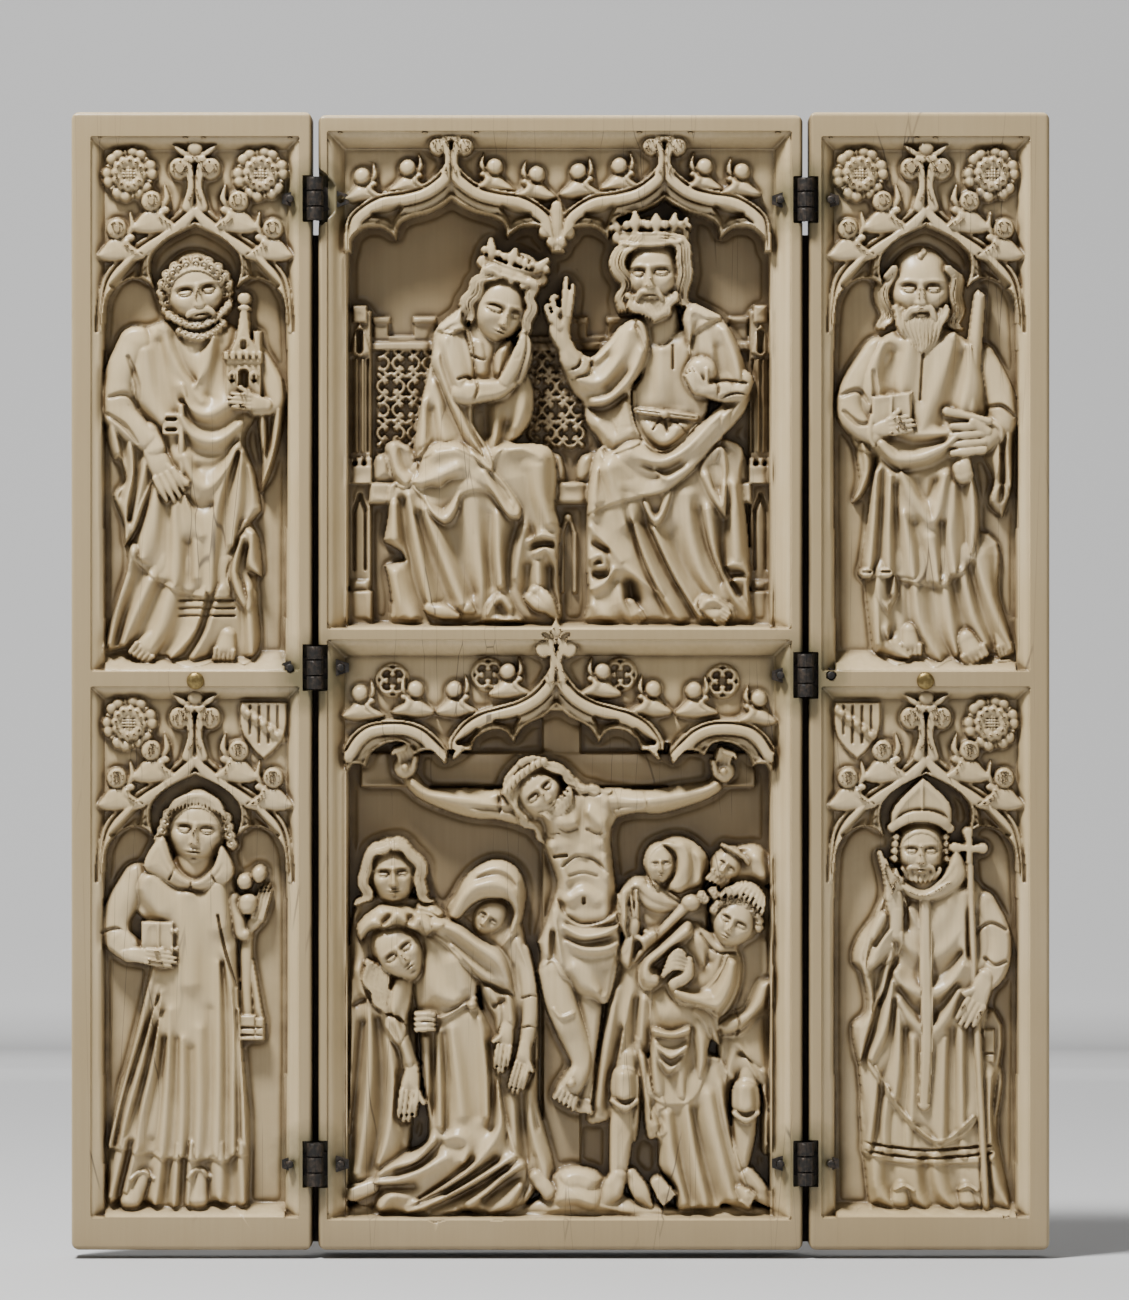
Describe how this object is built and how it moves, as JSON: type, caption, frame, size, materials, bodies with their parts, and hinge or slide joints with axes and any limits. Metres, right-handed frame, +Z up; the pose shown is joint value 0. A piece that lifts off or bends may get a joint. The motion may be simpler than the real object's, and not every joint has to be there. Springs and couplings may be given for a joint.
{
  "type": "carved ivory triptych altarpiece",
  "caption": "Small hinged triptych of carved ivory: a wide centre leaf and two narrow wings with saints in relief under pointed arches, on iron hinges.",
  "frame": {"origin": "middle of the centre leaf's underside", "axes": "+X to the viewer's right, -Y towards the viewer in front of the carving, +Z up"},
  "size_m": [0.2048, 0.0201, 0.2382],
  "materials": {
    "ivory": "polished, yellowed, with brown dirt in the hollows",
    "iron": "wrought, blackened and corroded",
    "brass": "dull, tarnished"
  },
  "bodies": {
    "centre": {"centre_leaf": "ivory", "left_top_hinge_centre_half": "iron", "left_top_hinge_pin": "iron", "left_middle_hinge_centre_half": "iron", "left_middle_hinge_pin": "iron", "left_middle_centre_rivet": "iron", "left_bottom_hinge_centre_half": "iron", "left_bottom_hinge_pin": "iron", "left_bottom_centre_rivet": "iron", "right_top_hinge_centre_half": "iron", "right_top_hinge_pin": "iron", "right_top_centre_rivet": "iron", "right_middle_hinge_centre_half": "iron", "right_middle_hinge_pin": "iron", "right_middle_centre_rivet": "iron", "right_bottom_hinge_centre_half": "iron", "right_bottom_hinge_pin": "iron", "right_bottom_centre_rivet": "iron"},
    "left": {"left_wing": "ivory", "left_top_hinge_wing_half": "iron", "left_top_wing_rivet": "iron", "left_middle_hinge_wing_half": "iron", "left_middle_wing_rivet": "iron", "left_bottom_hinge_wing_half": "iron", "left_bottom_wing_rivet": "iron", "left_brass_stud": "brass"},
    "right": {"right_wing": "ivory", "right_top_hinge_wing_half": "iron", "right_top_wing_rivet": "iron", "right_middle_hinge_wing_half": "iron", "right_middle_wing_rivet": "iron", "right_bottom_hinge_wing_half": "iron", "right_bottom_wing_rivet": "iron", "right_brass_stud": "brass"}
  },
  "joints": [
    {"name": "left_wing_hinge", "type": "hinge", "parent": "centre", "child": "left", "pos_m": [-0.05135, -0.0094, 0.12], "axis": [0, 0, 1], "range_deg": [0, 180]},
    {"name": "right_wing_hinge", "type": "hinge", "parent": "centre", "child": "right", "pos_m": [0.05135, -0.0094, 0.12], "axis": [0, 0, -1], "range_deg": [0, 180]}
  ]
}
